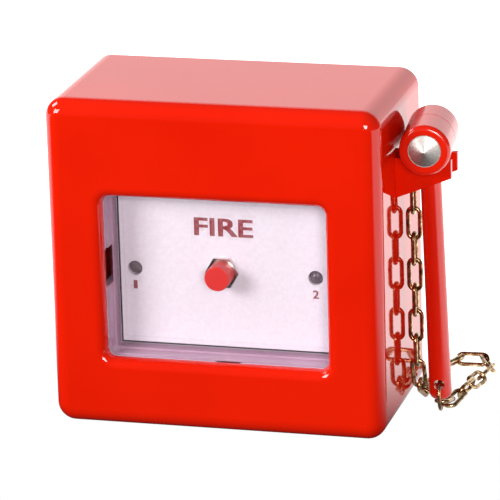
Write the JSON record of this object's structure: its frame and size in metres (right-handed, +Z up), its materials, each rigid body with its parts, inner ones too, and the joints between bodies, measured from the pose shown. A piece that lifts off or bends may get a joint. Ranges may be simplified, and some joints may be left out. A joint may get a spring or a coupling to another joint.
{
  "type": "manual call point",
  "caption": "Square glossy red wall box with a break-glass window over a push button, and a small hammer on a chain in a side bracket.",
  "frame": {"origin": "middle of the box's underside: centred in X, half way between front face and wall", "axes": "+Z up, -Y towards the person who faces the window, +Y into the wall, +X towards the hammer's side"},
  "size_m": [0.138, 0.0843, 0.114],
  "materials": {
    "red_shell": "glossy moulded",
    "hammer_plastic": "glossy moulded",
    "steel_tip": "turned",
    "clear_glass": "polished",
    "white_plastic": "glossy moulded",
    "label_card": "printed satin",
    "button_red": "glossy moulded",
    "nickel": "plated",
    "dark_plastic": "moulded",
    "led_lens": "diffused",
    "board_green": "solder mask",
    "resistor_body": "lacquered",
    "terminal_green": "moulded",
    "zinc_steel": "zinc plated",
    "spring_steel": "drawn wire",
    "contact_metal": "stamped",
    "back_plastic": "moulded",
    "black_rubber": "moulded",
    "chain_metal": "drawn wire, plated"
  },
  "bodies": {
    "call_point": {"front_cover": "red_shell", "glass_frame": "white_plastic", "glass_pane": "clear_glass", "label_tray": "white_plastic", "label_plate": "label_card", "tray_screws": "zinc_steel", "return_spring": "spring_steel", "switch_bush": "nickel", "switch_nut": "nickel", "switch_body": "dark_plastic", "switch_pins": "contact_metal", "led_ready": "led_lens", "led_fire": "led_lens", "led_leads": "nickel", "circuit_board": "board_green", "board_screws": "zinc_steel", "resistors": "resistor_body", "terminal_block": "terminal_green", "terminal_screws": "zinc_steel", "back_plate": "back_plastic", "closing_screws": "zinc_steel", "cable_grommet": "black_rubber", "hammer_bracket": "red_shell", "bracket_screws": "zinc_steel", "chain_anchor_ring": "chain_metal", "chain_hanging_links": "chain_metal", "chain_lying_links": "chain_metal"},
    "button": {"button_cap": "button_red", "button_plunger": "dark_plastic", "contact_bridge": "contact_metal"},
    "hammer": {"hammer_head": "hammer_plastic", "hammer_rear_cap": "hammer_plastic", "hammer_tip": "steel_tip", "hammer_handle": "hammer_plastic", "handle_ring": "chain_metal", "chain_last_link": "chain_metal"}
  },
  "joints": [
    {"name": "button_press", "type": "slide", "parent": "call_point", "child": "button", "axis": [0, 1, 0], "range_m": [0, 0.0025], "stiffness_N_per_m": 300, "springref_m": -0.003, "deforming": ["return_spring"]},
    {"name": "hammer_lift", "type": "slide", "parent": "call_point", "child": "hammer", "axis": [0.5, 0, 0.866], "range_m": [0, 0.04]}
  ]
}
